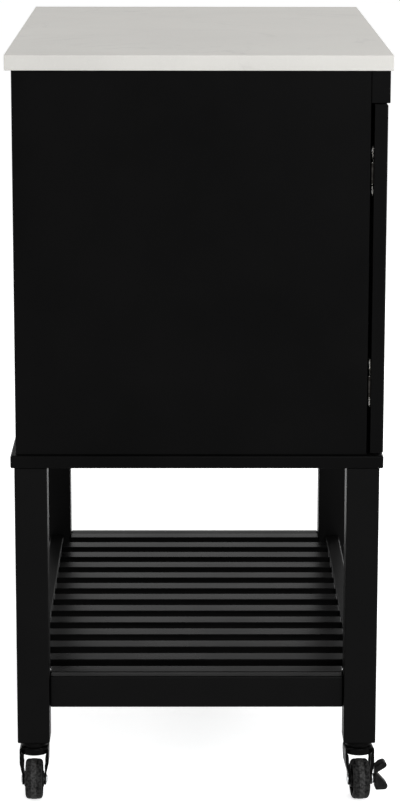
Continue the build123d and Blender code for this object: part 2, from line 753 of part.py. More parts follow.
            # Grip grooves across the lower wing's upper face, which runs from the root to the tip
            root = Vector(spine_out, root_start)
            reach = Vector(tip_out, tip_height) - root
            slope = atan2(reach.Y, reach.X) + asin((tip_radius - pedal_spine_round) / reach.length)
            along = Vector(cos(slope), sin(slope))
            face_start = root + Vector(-sin(slope), cos(slope)) * pedal_spine_round
            with BuildSketch(pedal_front_view):
                for groove in range(pedal_groove_count):
                    spot = face_start + along * (pedal_groove_start + groove * pedal_groove_pitch)
                    with Locations((spot.X, spot.Y)):
                        Rectangle(pedal_groove_width, 2 * pedal_groove_depth, rotation=degrees(slope))
            extrude(amount=pedal_width / 2, both=True, mode=Mode.SUBTRACT)
        save(pedal.part, "brake_pedal_" + corner)
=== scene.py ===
import bmesh
import bpy
import json
from math import asin, atan2, copysign, cos, pi, radians, sin, sqrt
from mathutils import Matrix, Vector
from mathutils.geometry import convex_hull_2d


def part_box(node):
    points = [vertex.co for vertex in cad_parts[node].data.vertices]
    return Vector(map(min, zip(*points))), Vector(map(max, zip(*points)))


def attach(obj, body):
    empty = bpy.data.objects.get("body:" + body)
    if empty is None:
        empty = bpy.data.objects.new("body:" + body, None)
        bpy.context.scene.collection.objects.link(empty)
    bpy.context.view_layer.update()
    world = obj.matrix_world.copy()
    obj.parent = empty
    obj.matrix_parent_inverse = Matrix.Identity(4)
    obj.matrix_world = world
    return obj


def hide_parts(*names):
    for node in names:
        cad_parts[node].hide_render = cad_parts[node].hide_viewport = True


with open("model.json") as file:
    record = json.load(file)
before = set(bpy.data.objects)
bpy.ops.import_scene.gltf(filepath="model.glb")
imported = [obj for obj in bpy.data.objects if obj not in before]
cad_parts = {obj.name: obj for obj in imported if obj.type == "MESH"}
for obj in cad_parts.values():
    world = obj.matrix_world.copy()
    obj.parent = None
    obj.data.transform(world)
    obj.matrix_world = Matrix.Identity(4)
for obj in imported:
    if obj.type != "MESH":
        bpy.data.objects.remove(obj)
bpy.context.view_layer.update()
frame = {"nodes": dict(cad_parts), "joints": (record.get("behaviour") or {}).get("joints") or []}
nodes = frame["nodes"]
joints = {joint["name"]: joint for joint in frame["joints"]}
mm = 0.001
print("cart: frame loaded,", len(nodes), "nodes")


def addPiece(name, bm, material, smoothAngle=35):
    mesh = bpy.data.meshes.new(name)
    bmesh.ops.recalc_face_normals(bm, faces=bm.faces)
    bm.to_mesh(mesh)
    bm.free()
    mesh.shade_smooth()
    mesh.set_sharp_from_angle(angle=radians(smoothAngle))
    mesh.materials.append(material)
    piece = bpy.data.objects.new(name, mesh)
    bpy.context.scene.collection.objects.link(piece)
    even = piece.modifiers.new("evenShading", "WEIGHTED_NORMAL")
    even.keep_sharp = True
    return piece


def addBoard(bm, low, high, arris, steps=3):
    made = bmesh.ops.create_cube(bm, size=1.0)
    low, high = Vector(low), Vector(high)
    size, middle = high - low, (low + high) / 2
    for vert in made["verts"]:
        vert.co = Vector([c * s + m for c, s, m in zip(vert.co, size, middle)])
    edges = {edge for vert in made["verts"] for edge in vert.link_edges}
    bmesh.ops.bevel(bm, geom=list(edges), offset=arris, segments=steps, profile=0.5,
                    affect="EDGES")


def addPlacedBoard(bm, low, high, arris, steps, place):
    before = set(bm.verts)
    addBoard(bm, low, high, arris, steps)
    added = [vert for vert in bm.verts if vert not in before]
    bmesh.ops.transform(bm, matrix=place, verts=added)


def circleTurns(steps):
    return [2 * pi * step / steps for step in range(steps)]


# (radius, height) pairs turned round the place's own Z
def addTurning(bm, profile, steps, place, closed=False):
    rings = []
    for radius, height in profile:
        if radius == 0:
            rings.append([bm.verts.new(place @ Vector((0, 0, height)))])
            continue
        around = [Vector((radius * cos(turn), radius * sin(turn), height))
                  for turn in circleTurns(steps)]
        rings.append([bm.verts.new(place @ spot) for spot in around])
    pairs = list(zip(rings, rings[1:]))
    if closed:
        pairs.append((rings[-1], rings[0]))
    for lower, upper in pairs:
        for step in range(steps):
            after = (step + 1) % steps
            corners = [lower[step % len(lower)], lower[after % len(lower)],
                       upper[after % len(upper)], upper[step % len(upper)]]
            face = list(dict.fromkeys(corners))
            if len(face) > 2:
                bm.faces.new(face)


# axes whose Z points the given way
def facing(origin, way):
    turn = Vector((0, 0, 1)).rotation_difference(Vector(way)).to_matrix().to_4x4()
    return Matrix.Translation(origin) @ turn


def roundedCorner(centre, radius, start, stop, steps=4):
    turns = [radians(start + (stop - start) * step / steps) for step in range(steps + 1)]
    return [(centre[0] + radius * cos(turn), centre[1] + radius * sin(turn)) for turn in turns]


def scaled(points):
    return [(a * mm, b * mm) for a, b in points]


# a finish is one material, with short ways to add the nodes that it is made of
class Finish:
    def __init__(self, name):
        self.material = bpy.data.materials.new(name)
        self.material.use_nodes = True
        self.tree = self.material.node_tree
        self.shader = self.tree.nodes["Principled BSDF"]
        self.column = -300

    def node(self, kind, inputs=None, **settings):
        made = self.tree.nodes.new("ShaderNode" + kind)
        made.location = (self.column, 300 - 35 * len(self.tree.nodes))
        self.column -= 50
        for key, value in settings.items():
            setattr(made, key, value)
        for key, value in (inputs or {}).items():
            self.feed(made.inputs[key], value)
        return made

    def feed(self, socket, value):
        if isinstance(value, bpy.types.NodeSocket):
            self.tree.links.new(value, socket)
        else:
            socket.default_value = value

    def noise(self, where, scale, detail=3.0, roughness=0.55, distortion=0.0):
        inputs = {"Vector": where, "Scale": scale, "Detail": detail, "Roughness": roughness,
                  "Distortion": distortion}
        return self.node("TexNoise", inputs).outputs[0]

    def spread(self, value, low, high, toLow=0.0, toHigh=1.0):
        inputs = {"Value": value, "From Min": low, "From Max": high,
                  "To Min": toLow, "To Max": toHigh}
        return self.node("MapRange", inputs).outputs["Result"]

    def mix(self, amount, first, second):
        made = self.node("Mix", data_type="RGBA")
        self.feed(made.inputs[0], amount)
        self.feed(made.inputs[6], first)
        self.feed(made.inputs[7], second)
        return made.outputs[2]

    def math(self, operation, first, second=0.0):
        return self.node("Math", {0: first, 1: second}, operation=operation).outputs[0]

    def place(self, stretch=(1, 1, 1)):
        where = self.node("TexCoord").outputs["Object"]
        return self.node("Mapping", {"Vector": where, "Scale": stretch}).outputs["Vector"]

    # 0 on a flat, towards 1 on an arris, and the rounded normal there
    def arris(self, radius):
        rounded = self.node("Bevel", {"Radius": radius}, samples=6).outputs[0]
        flat = self.node("NewGeometry").outputs["Normal"]
        match = self.node("VectorMath", {0: rounded, 1: flat}, operation="DOT_PRODUCT")
        return self.spread(match.outputs["Value"], flatMatch, arrisMatch), rounded

    def bump(self, height, strength, distance, normal=None):
        inputs = {"Height": height, "Strength": strength, "Distance": distance}
        if normal:
            inputs["Normal"] = normal
        return self.node("Bump", inputs).outputs[0]

    def wear(self, **sockets):
        for key, value in sockets.items():
            self.feed(self.shader.inputs[socketNames[key]], value)
        return self.material


socketNames = {"colour": "Base Color", "roughness": "Roughness", "metal": "Metallic",
               "normal": "Normal", "specular": "Specular IOR Level"}
# how far the rounded normal agrees with the flat one, on a flat and on a worn arris
flatMatch, arrisMatch = 0.995, 0.78


# satin black lacquer; the grain underneath shows faintly, running the board's own way
blackPaint = {
    "dark": (0.0013, 0.0013, 0.0013, 1), "light": (0.0023, 0.0022, 0.0022, 1),
    "rubbed": (0.009, 0.0085, 0.008, 1), "specular": 0.028,
    "frameSpecular": 0.044, "slatSpecular": 0.024, "slatSheen": 0.14,
    "grainAlong": 5, "grainAcross": 130, "stipple": 620, "cloud": 7.0,
    "scuff": 90.0, "scuffRange": (0.42, 0.68), "cloudRange": (0.3, 0.7), "glossRange": (0.5, 1.05),
    "sheenLow": 0.36, "sheenHigh": 0.50, "arris": 0.9 * mm,
    # strength and depth of the relief
    "stippleRelief": (0.10, 0.15 * mm), "grainRelief": (0.16, 0.25 * mm),
}


def makeBlackPaint(name, along, specular, sheen=0.0):
    p = blackPaint
    f = Finish(name)
    stretch = [p["grainAcross"]] * 3
    stretch["XYZ".index(along)] = p["grainAlong"]
    grain = f.noise(f.place(stretch), 1.0, 4.0, 0.6, 0.4)
    stipple = f.noise(f.place(), p["stipple"], 2.0)
    cloud = f.noise(f.place(), p["cloud"], 3.0)
    worn, rounded = f.arris(p["arris"])
    scuff = f.spread(f.noise(f.place(), p["scuff"], 4.0), *p["scuffRange"])
    colour = f.mix(f.spread(cloud, *p["cloudRange"]), p["dark"], p["light"])
    colour = f.mix(f.math("MULTIPLY", worn, scuff), colour, p["rubbed"])
    uneven = f.math("ADD", cloud, f.math("MULTIPLY", grain, 0.5))
    roughness = f.spread(uneven, *p["glossRange"], p["sheenLow"] - sheen, p["sheenHigh"] - sheen)
    normal = f.bump(stipple, *p["stippleRelief"], f.bump(grain, *p["grainRelief"], rounded))
    return f.wear(colour=colour, roughness=roughness, normal=normal, specular=specular)


paintAcross = makeBlackPaint("satinBlackAlongX", "X", blackPaint["specular"])
paintUp = makeBlackPaint("satinBlackAlongZ", "Z", blackPaint["specular"])
paintLegs = makeBlackPaint("satinBlackLegs", "Z", blackPaint["frameSpecular"])
paintDeep = makeBlackPaint("satinBlackAlongY", "Y", blackPaint["frameSpecular"])
paintSlats = makeBlackPaint("satinBlackSlats", "Y", blackPaint["slatSpecular"],
                            blackPaint["slatSheen"])

# honed stone: warm white with fine speckle, soft clouds and a few faint grey veins
stoneTop = {
    "light": (0.608, 0.590, 0.555, 1), "deep": (0.569, 0.552, 0.520, 1),
    "vein": (0.380, 0.366, 0.358, 1), "fleck": (0.660, 0.645, 0.616, 1),
    "veinStrength": 0.30, "veinHalf": 0.022, "breaks": 9.0, "breakRange": (0.50, 0.66),
    "cloud": 4.2, "cloudRange": (0.32, 0.68), "drift": 3.0,
    # scale, where it starts and ends in the noise, and how strong it is
    "speckle": (900.0, 0.60, 0.74, 0.22), "grit": (260.0, 0.56, 0.72, 0.35),
    "rough": (0.46, 0.60), "glossRange": (0.35, 0.9), "arris": 0.8 * mm, "specular": 0.20,
    "speckleRelief": (0.05, 0.05 * mm), "gritRelief": (0.06, 0.1 * mm),
}


def makeStone():
    p = stoneTop
    f = Finish("honedStone")
    where = f.place()
    speckleScale, speckleStart, speckleEnd, speckleStrength = p["speckle"]
    gritScale, gritStart, gritEnd, gritStrength = p["grit"]
    cloud = f.noise(where, p["cloud"], 5.0, 0.6, 0.6)
    speckle = f.noise(where, speckleScale, 2.0, 0.7)
    grit = f.noise(where, gritScale, 3.0, 0.7)
    drift = f.noise(where, p["drift"], 4.0, 0.65, 1.6)
    # a vein runs wherever the drifting noise crosses its middle value
    offset = f.math("ABSOLUTE", f.math("SUBTRACT", drift, 0.5))
    vein = f.spread(offset, 0.0, p["veinHalf"], 1.0, 0.0)
    broken = f.spread(f.noise(where, p["breaks"], 3.0), *p["breakRange"])
    vein = f.math("MULTIPLY", f.math("MULTIPLY", vein, broken), p["veinStrength"])
    colour = f.mix(f.spread(cloud, *p["cloudRange"]), p["deep"], p["light"])
    gritty = f.spread(grit, gritStart, gritEnd, 0.0, gritStrength)
    colour = f.mix(gritty, colour, p["fleck"])
    speckled = f.spread(speckle, speckleStart, speckleEnd, 0.0, speckleStrength)
    colour = f.mix(speckled, colour, p["vein"])
    colour = f.mix(vein, colour, p["vein"])
    worn, rounded = f.arris(p["arris"])
    uneven = f.math("ADD", grit, f.math("MULTIPLY", worn, 0.3))
    roughness = f.spread(uneven, *p["glossRange"], *p["rough"])
    normal = f.bump(speckle, *p["speckleRelief"], f.bump(grit, *p["gritRelief"], rounded))
    return f.wear(colour=colour, roughness=roughness, normal=normal, specular=p["specular"])


stone = makeStone()

# metals: colours, how rough, and the scale of the polishing marks along X, Y and Z
metals = {
    "nickelPlate": {"dark": (0.50, 0.48, 0.45, 1), "light": (0.68, 0.66, 0.62, 1),
                    "rough": (0.28, 0.44), "marks": (60, 60, 900)},
    # painted shade: the hinge arms' nickel-plated steel is coloured near-black to stand in for the
    # shadow they sit in
    "shadeDarkSteel": {"dark": (0.006, 0.0057, 0.0053, 1), "light": (0.030, 0.028, 0.026, 1),
                  "rough": (0.30, 0.46), "marks": (60, 60, 900)},
    "zincAxle": {"dark": (0.40, 0.41, 0.42, 1), "light": (0.66, 0.67, 0.68, 1),
                 "rough": (0.22, 0.42), "marks": (500, 500, 500)},
    "satinKnob": {"dark": (0.40, 0.38, 0.35, 1), "light": (0.56, 0.54, 0.50, 1),
                  "rough": (0.26, 0.38), "marks": (140, 900, 140)},
}
metalGrain = {"blotch": 110.0, "blotchRange": (0.3, 0.7), "glossRange": (0.7, 1.3),
              "arris": 0.35 * mm, "markRelief": (0.12, 0.03 * mm)}

# painted shade: the metal near the two knuckles is darkened where shadow falls in the hinge's
# middle
knuckleShade = {"knuckleHalf": 7.5 * mm, "full": 12.2 * mm, "none": 14.0 * mm,
              "colour": (0.012, 0.011, 0.010, 1)}


def shadeNearKnuckles(f, colour):
    p = knuckleShade
    low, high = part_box("hinge_arms")
    height = f.node("SeparateXYZ", {0: f.place()}).outputs["Z"]
    gaps = [f.math("ABSOLUTE", f.math("SUBTRACT", height, middle))
            for middle in (low.z + p["knuckleHalf"], high.z - p["knuckleHalf"])]
    # painted shade mask, 1 at the knuckles and fading to 0 away from them
    knuckleShaded = f.spread(f.math("MINIMUM", *gaps), p["full"], p["none"], 1.0, 0.0)
    return f.mix(knuckleShaded, colour, p["colour"])


def makeMetal(name, knuckleShaded=False):
    p, g = metals[name], metalGrain
    f = Finish(name)
    marks = f.noise(f.place(p["marks"]), 1.0, 3.0, 0.6)
    blotch = f.noise(f.place(), g["blotch"], 4.0, 0.6)
    rounded = f.arris(g["arris"])[1]
    colour = f.mix(f.spread(blotch, *g["blotchRange"]), p["dark"], p["light"])
    # painted shade darkens the nickel near the knuckles
    if knuckleShaded:
        colour = shadeNearKnuckles(f, colour)
    roughness = f.spread(f.math("ADD", marks, blotch), *g["glossRange"], *p["rough"])
    normal = f.bump(marks, *g["markRelief"], rounded)
    return f.wear(colour=colour, roughness=roughness, normal=normal, metal=1.0)


nickel = makeMetal("nickelPlate", knuckleShaded=True)
shadeDarkSteel = makeMetal("shadeDarkSteel")
zinc = makeMetal("zincAxle")
knobMetal = makeMetal("satinKnob")

# dark moulded and coated finishes on the casters
casterFinishes = {
    "blackCoat": {
        "dark": (0.0012, 0.0012, 0.0012, 1), "light": (0.0038, 0.0037, 0.0036, 1),
        "worn": (0.022, 0.021, 0.020, 1), "rough": (0.24, 0.42), "grain": 420, "depth": 0.10,
        "specular": 0.022, "blotch": 60, "mottle": (0.30, 0.70),
    },
    "mouldedBlack": {
        "dark": (0.0012, 0.0012, 0.0012, 1), "light": (0.0110, 0.0108, 0.0106, 1),
        "worn": (0.034, 0.033, 0.031, 1), "rough": (0.38, 0.55), "grain": 1400, "depth": 0.14,
        "specular": 0.050, "blotch": 220, "mottle": (0.40, 0.62),
    },
    "treadBand": {
        "dark": (0.012, 0.0118, 0.0115, 1), "light": (0.050, 0.0492, 0.0484, 1),
        "worn": (0.064, 0.063, 0.061, 1), "rough": (0.60, 0.80), "grain": 900, "depth": 0.18,
        "specular": 0.10, "blotch": 300, "mottle": (0.40, 0.60),
    },
    "treadRubber": {
        "dark": (0.0020, 0.0020, 0.0020, 1), "light": (0.0240, 0.0237, 0.0233, 1),
        "worn": (0.050, 0.048, 0.045, 1), "rough": (0.50, 0.72), "grain": 520, "depth": 0.34,
        "specular": 0.050, "blotch": 300, "mottle": (0.42, 0.58),
    },
}
casterWear = {"arris": 0.5 * mm, "scuff": 240.0, "scuffRange": (0.40, 0.66),
              "glossRange": (0.3, 0.7), "grainDepth": 0.1 * mm}


def makeCasterFinish(name):
    p, w = casterFinishes[name], casterWear
    f = Finish(name)
    grain = f.noise(f.place(), p["grain"], 3.0, 0.6)
    blotch = f.noise(f.place(), p["blotch"], 4.0, 0.6)
    worn, rounded = f.arris(w["arris"])
    scuff = f.spread(f.noise(f.place(), w["scuff"], 3.0), *w["scuffRange"])
    colour = f.mix(f.spread(blotch, *p["mottle"]), p["dark"], p["light"])
    colour = f.mix(f.math("MULTIPLY", worn, scuff), colour, p["worn"])
    roughness = f.spread(blotch, *w["glossRange"], *p["rough"])
    normal = f.bump(grain, p["depth"], w["grainDepth"], rounded)
    return f.wear(colour=colour, roughness=roughness, normal=normal, specular=p["specular"])


blackCoat = makeCasterFinish("blackCoat")
mouldedBlack = makeCasterFinish("mouldedBlack")
treadRubber = makeCasterFinish("treadRubber")
treadBand = makeCasterFinish("treadBand")
print("cart: finishes made")


# how round each board's arrises are in millimetres, its finish and the record's slot
boards = {
    "worktop": (0.9, stone, "stone_top"),
    "base_board": (2.2, paintAcross, "black_paint"),
    "side_panel_left": (1.0, paintUp, "black_paint"),
    "side_panel_right": (1.0, paintUp, "black_paint"),
    "back_panel": (0.6, paintUp, "black_paint"),
    "inner_shelf": (1.0, paintAcross, "black_paint"),
    "header_rail": (1.2, paintAcross, "black_paint"),
    "front_rail": (2.0, paintAcross, "black_paint"),
    "back_rail": (2.0, paintAcross, "black_paint"),
    "left_end_rail": (2.4, paintDeep, "black_paint"),
    "right_end_rail": (2.4, paintDeep, "black_paint"),
}
for corner in ("front_left", "front_right", "back_left", "back_right"):
    boards["leg_" + corner] = (1.8, paintLegs, "black_paint")

for node, (arris, finish, slotName) in boards.items():
    bm = bmesh.new()
    low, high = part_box(node)
    addBoard(bm, low, high, arris * mm)
    piece = addPiece(node + "Board", bm, finish)
    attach(piece, "cart")
    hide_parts(node)

# slats: eased boards whose ends go into the rails
slat = {"count": 13, "arris": 1.0 * mm, "tenon": 6.0 * mm, "tenonLap": 1.1, "tenonArris": 0.3 * mm,
        "tenonHalfWidth": 10.0 * mm, "tenonHalfThick": 3.0 * mm}
for number in range(1, slat["count"] + 1):
    node = "slat_%02d" % number
    low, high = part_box(node)
    bm = bmesh.new()
    # the two outer slats lie against the legs and have no tenons
    if number in (1, slat["count"]):
        addBoard(bm, low, high, slat["arris"])
    else:
        inset = Vector((0, slat["tenon"], 0))
        addBoard(bm, low + inset, high - inset, slat["arris"])
        middle = (low + high) / 2
        for side, outer in ((-1, low.y), (1, high.y)):
            inner = outer - side * slat["tenon"] * slat["tenonLap"]
            reach = Vector((slat["tenonHalfWidth"], 0, slat["tenonHalfThick"]))
            start = Vector((middle.x, min(inner, outer), middle.z)) - reach
            stop = Vector((middle.x, max(inner, outer), middle.z)) + reach
            addBoard(bm, start, stop, slat["tenonArris"], 1)
    piece = addPiece("slatBoard%02d" % number, bm, paintSlats)
    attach(piece, "cart")
    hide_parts(node)
print("cart: cabinet boards, legs, rails and slats made")


def finishNode(node, material):
    nodes[node].data.materials.clear()
    nodes[node].data.materials.append(material)


for side in ("left", "right"):
    finishNode("door_" + side, paintUp)
    finishNode("hinge_bosses_" + side, nickel)
# the hinge arms wear the near-black steel, a painted shade
finishNode("hinge_arms", shadeDarkSteel)
for node in ("hinge_plates", "shelf_pins"):
    finishNode(node, nickel)

# turned knob: radius and distance out from the door
knob = {
    "outline": [(0, 0), (9.0, 0), (9.0, 1.9), (8.4, 2.5), (7.0, 3.0), (6.2, 4.0), (6.0, 5.2),
                (6.0, 10.0), (6.4, 12.0), (7.6, 13.6), (9.8, 14.9), (12.6, 15.7), (13.7, 16.3),
                (14.0, 17.2), (14.0, 18.2), (13.5, 19.2), (12.2, 20.1), (9.0, 21.1), (4.5, 21.8),
                (0, 22.0)],
    "steps": 64,
}
# round heads with a cross recess: radius and height of the head, radius and length of the shank
screws = {"wing": (3.6, 1.3, 1.7, 10.0), "plate": (4.0, 1.6, 2.0, 11.0),
          "clamp": (3.4, 1.4, 2.0, 1.0), "knob": (4.2, 2.4, 2.0, 22.7)}
# the head in shares of its radius and height, and the cross in the same shares
screwHead = {
    "outline": [(1.0, 0.0), (1.0, 0.35), (0.93, 0.7), (0.78, 0.92), (0.62, 1.0), (0.58, 1.0),
                (0.44, 1.0), (0.30, 1.0), (0.16, 1.0), (0.0, 1.0)],
    "crossReach": 0.6, "crossHalf": 0.13, "crossDepth": 0.62, "steps": 48, "shankSteps": 24,
}


def addScrew(bm, kind, place):
    p = screwHead
    steps = p["steps"]
    radius, height, shankRadius, shankLength = (size * mm for size in screws[kind])
    rings = []
    for part, rise in p["outline"]:
        ring = []
        for turn in circleTurns(steps)[:1 if part == 0 else steps]:
            x, y = part * cos(turn), part * sin(turn)
            inCross = part < p["crossReach"] and min(abs(x), abs(y)) < p["crossHalf"]
            z = (rise - p["crossDepth"] * (1 - part)) if inCross else rise
            ring.append(bm.verts.new(place @ Vector((x * radius, y * radius, z * height))))
        rings.append(ring)
    for lower, upper in zip(rings, rings[1:]):
        for step in range(steps):
            after = (step + 1) % steps
            corners = [lower[step], lower[after], upper[after % len(upper)],
                       upper[step % len(upper)]]
            bm.faces.new(list(dict.fromkeys(corners)))
    bm.faces.new(rings[0])
    shank = [(0.0, -shankLength), (shankRadius, -shankLength), (shankRadius, 0.0), (0.0, 0.0)]
    addTurning(bm, shank, p["shankSteps"], place)


for side in ("left", "right"):
    low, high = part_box("knob_" + side)
    doorLow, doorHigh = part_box("door_" + side)
    middle = (low + high) / 2
    bm = bmesh.new()
    place = facing((middle.x, doorLow.y, middle.z), (0, -1, 0))
    addTurning(bm, scaled(knob["outline"]), knob["steps"], place)
    piece = addPiece("knobTurning_" + side, bm, knobMetal, 50)
    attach(piece, "door_" + side)
    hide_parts("knob_" + side)
    bm = bmesh.new()
    addScrew(bm, "knob", facing((middle.x, doorHigh.y, middle.z), (0, 1, 0)))
    piece = addPiece("knobScrew_" + side, bm, zinc)
    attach(piece, "door_" + side)

# places of the hinge screws, in millimetres: on the doors' bosses, the plates and the arms
hinge = {
    "heights": (519.15, 775.15), "flangeY": -196.25, "bossX": 331.2, "wingPitch": 48.0,
    "plateX": 340.1, "plateY": -155.05, "platePitch": 32.0,
    "armX": 333.1, "clampY": (-181.05, -155.05),
}
plateScrews = bmesh.new()
for side, sign in (("left", -1), ("right", 1)):
    wingScrews = bmesh.new()
    for height in hinge["heights"]:
        for end in (-0.5, 0.5):
            rise = height + end * hinge["wingPitch"]
            spot = Vector((sign * hinge["bossX"], hinge["flangeY"], rise))
            addScrew(wingScrews, "wing", facing(spot * mm, (0, 1, 0)))
            rise = height + end * hinge["platePitch"]
            spot = Vector((sign * hinge["plateX"], hinge["plateY"], rise))
            addScrew(plateScrews, "plate", facing(spot * mm, (-sign, 0, 0)))
        for along in hinge["clampY"]:
            spot = Vector((sign * hinge["armX"], along, height))
            addScrew(plateScrews, "clamp", facing(spot * mm, (-sign, 0, 0)))
    piece = addPiece("wingScrews_" + side, wingScrews, zinc)
    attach(piece, "door_" + side)
    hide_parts("hinge_screws_" + side)
piece = addPiece("hingePlateScrews", plateScrews, zinc)
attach(piece, "cart")
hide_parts("plate_screws")
print("cart: knobs and hinge screws made")

# casters, in millimetres from the floor and from the swivel's line
fork = {
    "arm": 17.9, "toe": 14.6, "top": 64.4, "bend": 2.8, "sheet": 2.2, "knee": 44.0, "heel": 32.5,
    # the outer face on its way down: flat top, arm, bend at the knee, slant, bend at the heel, toe
    "topReach": (5.0, 10.0), "armHeights": (58.0, 55.5, 51.0),
    "kneeBend": [(0.0, 2.2), (-0.18, 0.4), (-0.75, -1.6)], "slant": (16.2, 38.0),
    "heelBend": [(0.6, 1.4), (0.1, -0.2), (0.0, -1.8)],
    "toeHeights": (28.0, 25.0, 22.0, 20.0, 18.6, 17.8, 17.52),
    "neckBack": -14.0, "neckFront": 12.0, "neckBottom": 55.5, "toeRadius": 7.5, "toeTip": 0.3,
    "crown": 17.5, "bore": 3.08, "proud": 0.02,
    "cupEdge": (56.3, 55.5), "cupEase": 0.5, "cupInside": (3.6, 3.4), "cupSteps": 72,
    "columns": 8, "edge": 0.45, "edgeAngle": 50,
    # the arms' edges are turned in between these heights
    "lip": 2.1, "lipStart": 34.0, "lipFull": 42.0, "lipCease": 55.0, "lipEnd": 57.5,
}
wheel = {
    "radius": 25.0, "trail": 14.0, "band": 3.3, "bandRadius": 24.0,
    # tread, half of its width: distance from the middle, radius
    "tread": [(0.0, 25.0), (2.9, 25.0), (3.25, 24.9), (3.5, 24.65), (6.6, 24.6), (8.2, 24.2),
              (9.3, 23.4), (10.0, 22.4), (10.35, 21.4), (10.4, 20.6), (10.3, 20.5)],
    # hub, half of its width: radius, distance from the middle
    "hub": [(3.06, 12.0), (8.9, 12.0), (9.6, 11.8), (10.0, 11.2), (10.1, 4.4), (10.7, 3.3),
            (12.0, 3.0), (16.4, 3.0), (17.6, 3.4), (18.0, 4.4), (18.1, 8.6), (18.6, 9.2),
            (20.0, 9.2), (20.5, 8.8)],
    # ribs: thick, wide, from one radius to the other
    "ribs": 6, "rib": (2.4, 15.0), "ribFrom": 9.0, "ribTo": 19.0, "ribArris": 0.5 * mm,
    "steps": 96,
}
# both ends of the axle: radius, distance from the wheel's middle
axle = {
    "head": [(5.0, 14.6), (5.0, 15.3), (4.5, 15.9), (3.4, 16.3), (1.6, 16.4), (1.2, 16.0),
             (0.0, 15.9)],
    "brakeSide": [(7.0, 14.6), (7.2, 14.8), (7.2, 15.5), (7.0, 15.8), (3.0, 15.8), (3.0, 21.4),
                  (2.8, 21.6), (0.0, 21.6)],
    "pin": 3.0, "shoulder": 14.6, "steps": 40,
}
# kingpin, bearing housing and the stem in the leg: radius, height
housing = {
    "outline": [(0.0, 60.0), (5.2, 60.0), (6.0, 60.5), (6.0, 61.8), (3.0, 61.8), (3.0, 64.9),
                (14.8, 64.9), (16.0, 65.4), (16.5, 66.4), (16.5, 68.6), (16.1, 69.1),
                (16.1, 69.7), (16.5, 70.2), (16.5, 72.1), (5.5, 72.1), (5.5, 109.0),
                (4.5, 110.1), (0.0, 110.1)],
    "steps": 72,
}
# each wing is the hull of circles, from its tip to its root: distance out from the wheel's
# middle, height, radius
pedal = {
    "upperWing": [(29.6, 42.4, 3.5), (25.6, 41.7, 3.1), (19.6, 38.9, 1.3), (19.6, 34.4, 1.3)],
    "lowerWing": [(29.5, 17.2, 4.2), (20.4, 15.0, 2.1), (19.6, 32.4, 1.3)],
    "hub": [(3.1, 16.2), (5.6, 16.2), (6.0, 16.6), (6.0, 19.5), (3.1, 19.5)], "hubSteps": 40,
    "ribs": 5, "ribPitch": 2.5, "ribStart": 1.6, "ribSize": (10.5, 1.0, 0.7), "ribArris": 0.3 * mm,
    # it leans ahead with height, is upright at leanFrom, and widens away from the axle
    "lean": 9.0 / 40.0, "leanFrom": 27.0, "halfWidth": 7.0, "widen": 22.0,
    # from one end of a wing to the other, how much smaller its loop is
    "ends": ((-1.0, 1.1), (-0.98, 0.65), (-0.93, 0.25), (-0.86, 0.0),
             (0.86, 0.0), (0.93, 0.25), (0.98, 0.65), (1.0, 1.1)),
}


# the sheet's edge across the arm at a height: hull of the neck and the round toe
def forkEdges(height):
    if height >= fork["neckBottom"]:
        return fork["neckBack"], fork["neckFront"]
    share = (height - wheel["radius"]) / (fork["neckBottom"] - wheel["radius"])
    if share >= 0:
        back = -wheel["trail"] - fork["toeRadius"] * (1 - share)
        front = fork["neckFront"] * share + (fork["toeRadius"] - wheel["trail"]) * (1 - share)
        return min(back, back * (1 - share) + fork["neckBack"] * share), front
    reach = sqrt(max(fork["toeRadius"] ** 2 - (height - wheel["radius"]) ** 2, fork["toeTip"]))
    return -wheel["trail"] - reach, -wheel["trail"] + reach


# how far the arm's edge is turned in at a height
def lipDepth(height):
    p = fork
    rise = (height - p["lipStart"]) / (p["lipFull"] - p["lipStart"])
    fall = (p["lipEnd"] - height) / (p["lipEnd"] - p["lipCease"])
    return p["lip"] * max(min(rise, fall, 1.0), 0.0)


